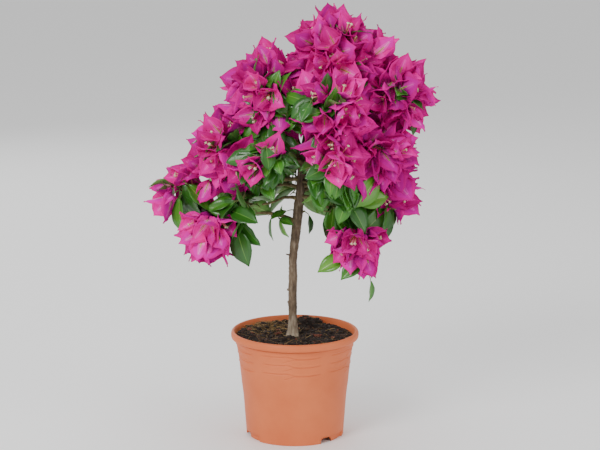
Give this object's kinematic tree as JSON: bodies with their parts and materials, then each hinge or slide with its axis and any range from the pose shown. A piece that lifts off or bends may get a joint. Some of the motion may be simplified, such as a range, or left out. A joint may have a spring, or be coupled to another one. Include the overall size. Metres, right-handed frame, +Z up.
{
  "type": "potted bougainvillea",
  "caption": "Flowering bougainvillea grown as a small standard tree: a bare woody stem, fanning boughs and a loose crown of bracts and leaves, in a round plastic pot with a rolled lip.",
  "frame": {"origin": "middle of the flat underside of the pot, on the ground", "axes": "+Z up along the pot's axis, -Y towards the side shown in the picture, +X to the right of that view"},
  "size_m": [0.3771, 0.269, 0.5715],
  "materials": {
    "pot": "terracotta coloured moulded plastic, matt",
    "soil": "dark moist potting mix with bark and fibre",
    "bark": "rough grey-brown bark",
    "blossom": "papery magenta bracts, soft sheen",
    "leaf": "smooth green leaves, slightly glossy"
  },
  "bodies": {
    "root": {"pot": "pot", "soil": "soil", "trunk": "bark", "bough_back_left": "bark", "bough_back_low_left": "bark", "bough_back_low_right": "bark", "bough_back_right": "bark", "bough_back_top": "bark", "bough_centre": "bark", "bough_far_left": "bark", "bough_front_high": "bark", "bough_front_left": "bark", "bough_front_right": "bark", "bough_hanging_left": "bark", "bough_hanging_right": "bark", "bough_left": "bark", "bough_low_back": "bark", "bough_low_left": "bark", "bough_low_right": "bark", "bough_right": "bark", "bough_right_low": "bark", "bough_top": "bark", "bough_top_right": "bark", "bough_upper_left": "bark", "blossom_back_left": "blossom", "blossom_back_low_left": "blossom", "blossom_back_low_right": "blossom", "blossom_back_right": "blossom", "blossom_back_top": "blossom", "blossom_far_left": "blossom", "blossom_front_high": "blossom", "blossom_front_left": "blossom", "blossom_front_right": "blossom", "blossom_hanging_left": "blossom", "blossom_hanging_right": "blossom", "blossom_left": "blossom", "blossom_right": "blossom", "blossom_right_low": "blossom", "blossom_top": "blossom", "blossom_top_right": "blossom", "blossom_upper_left": "blossom", "leaves_centre": "leaf", "leaves_low_back": "leaf", "leaves_low_left": "leaf", "leaves_low_right": "leaf"}
  },
  "joints": []
}
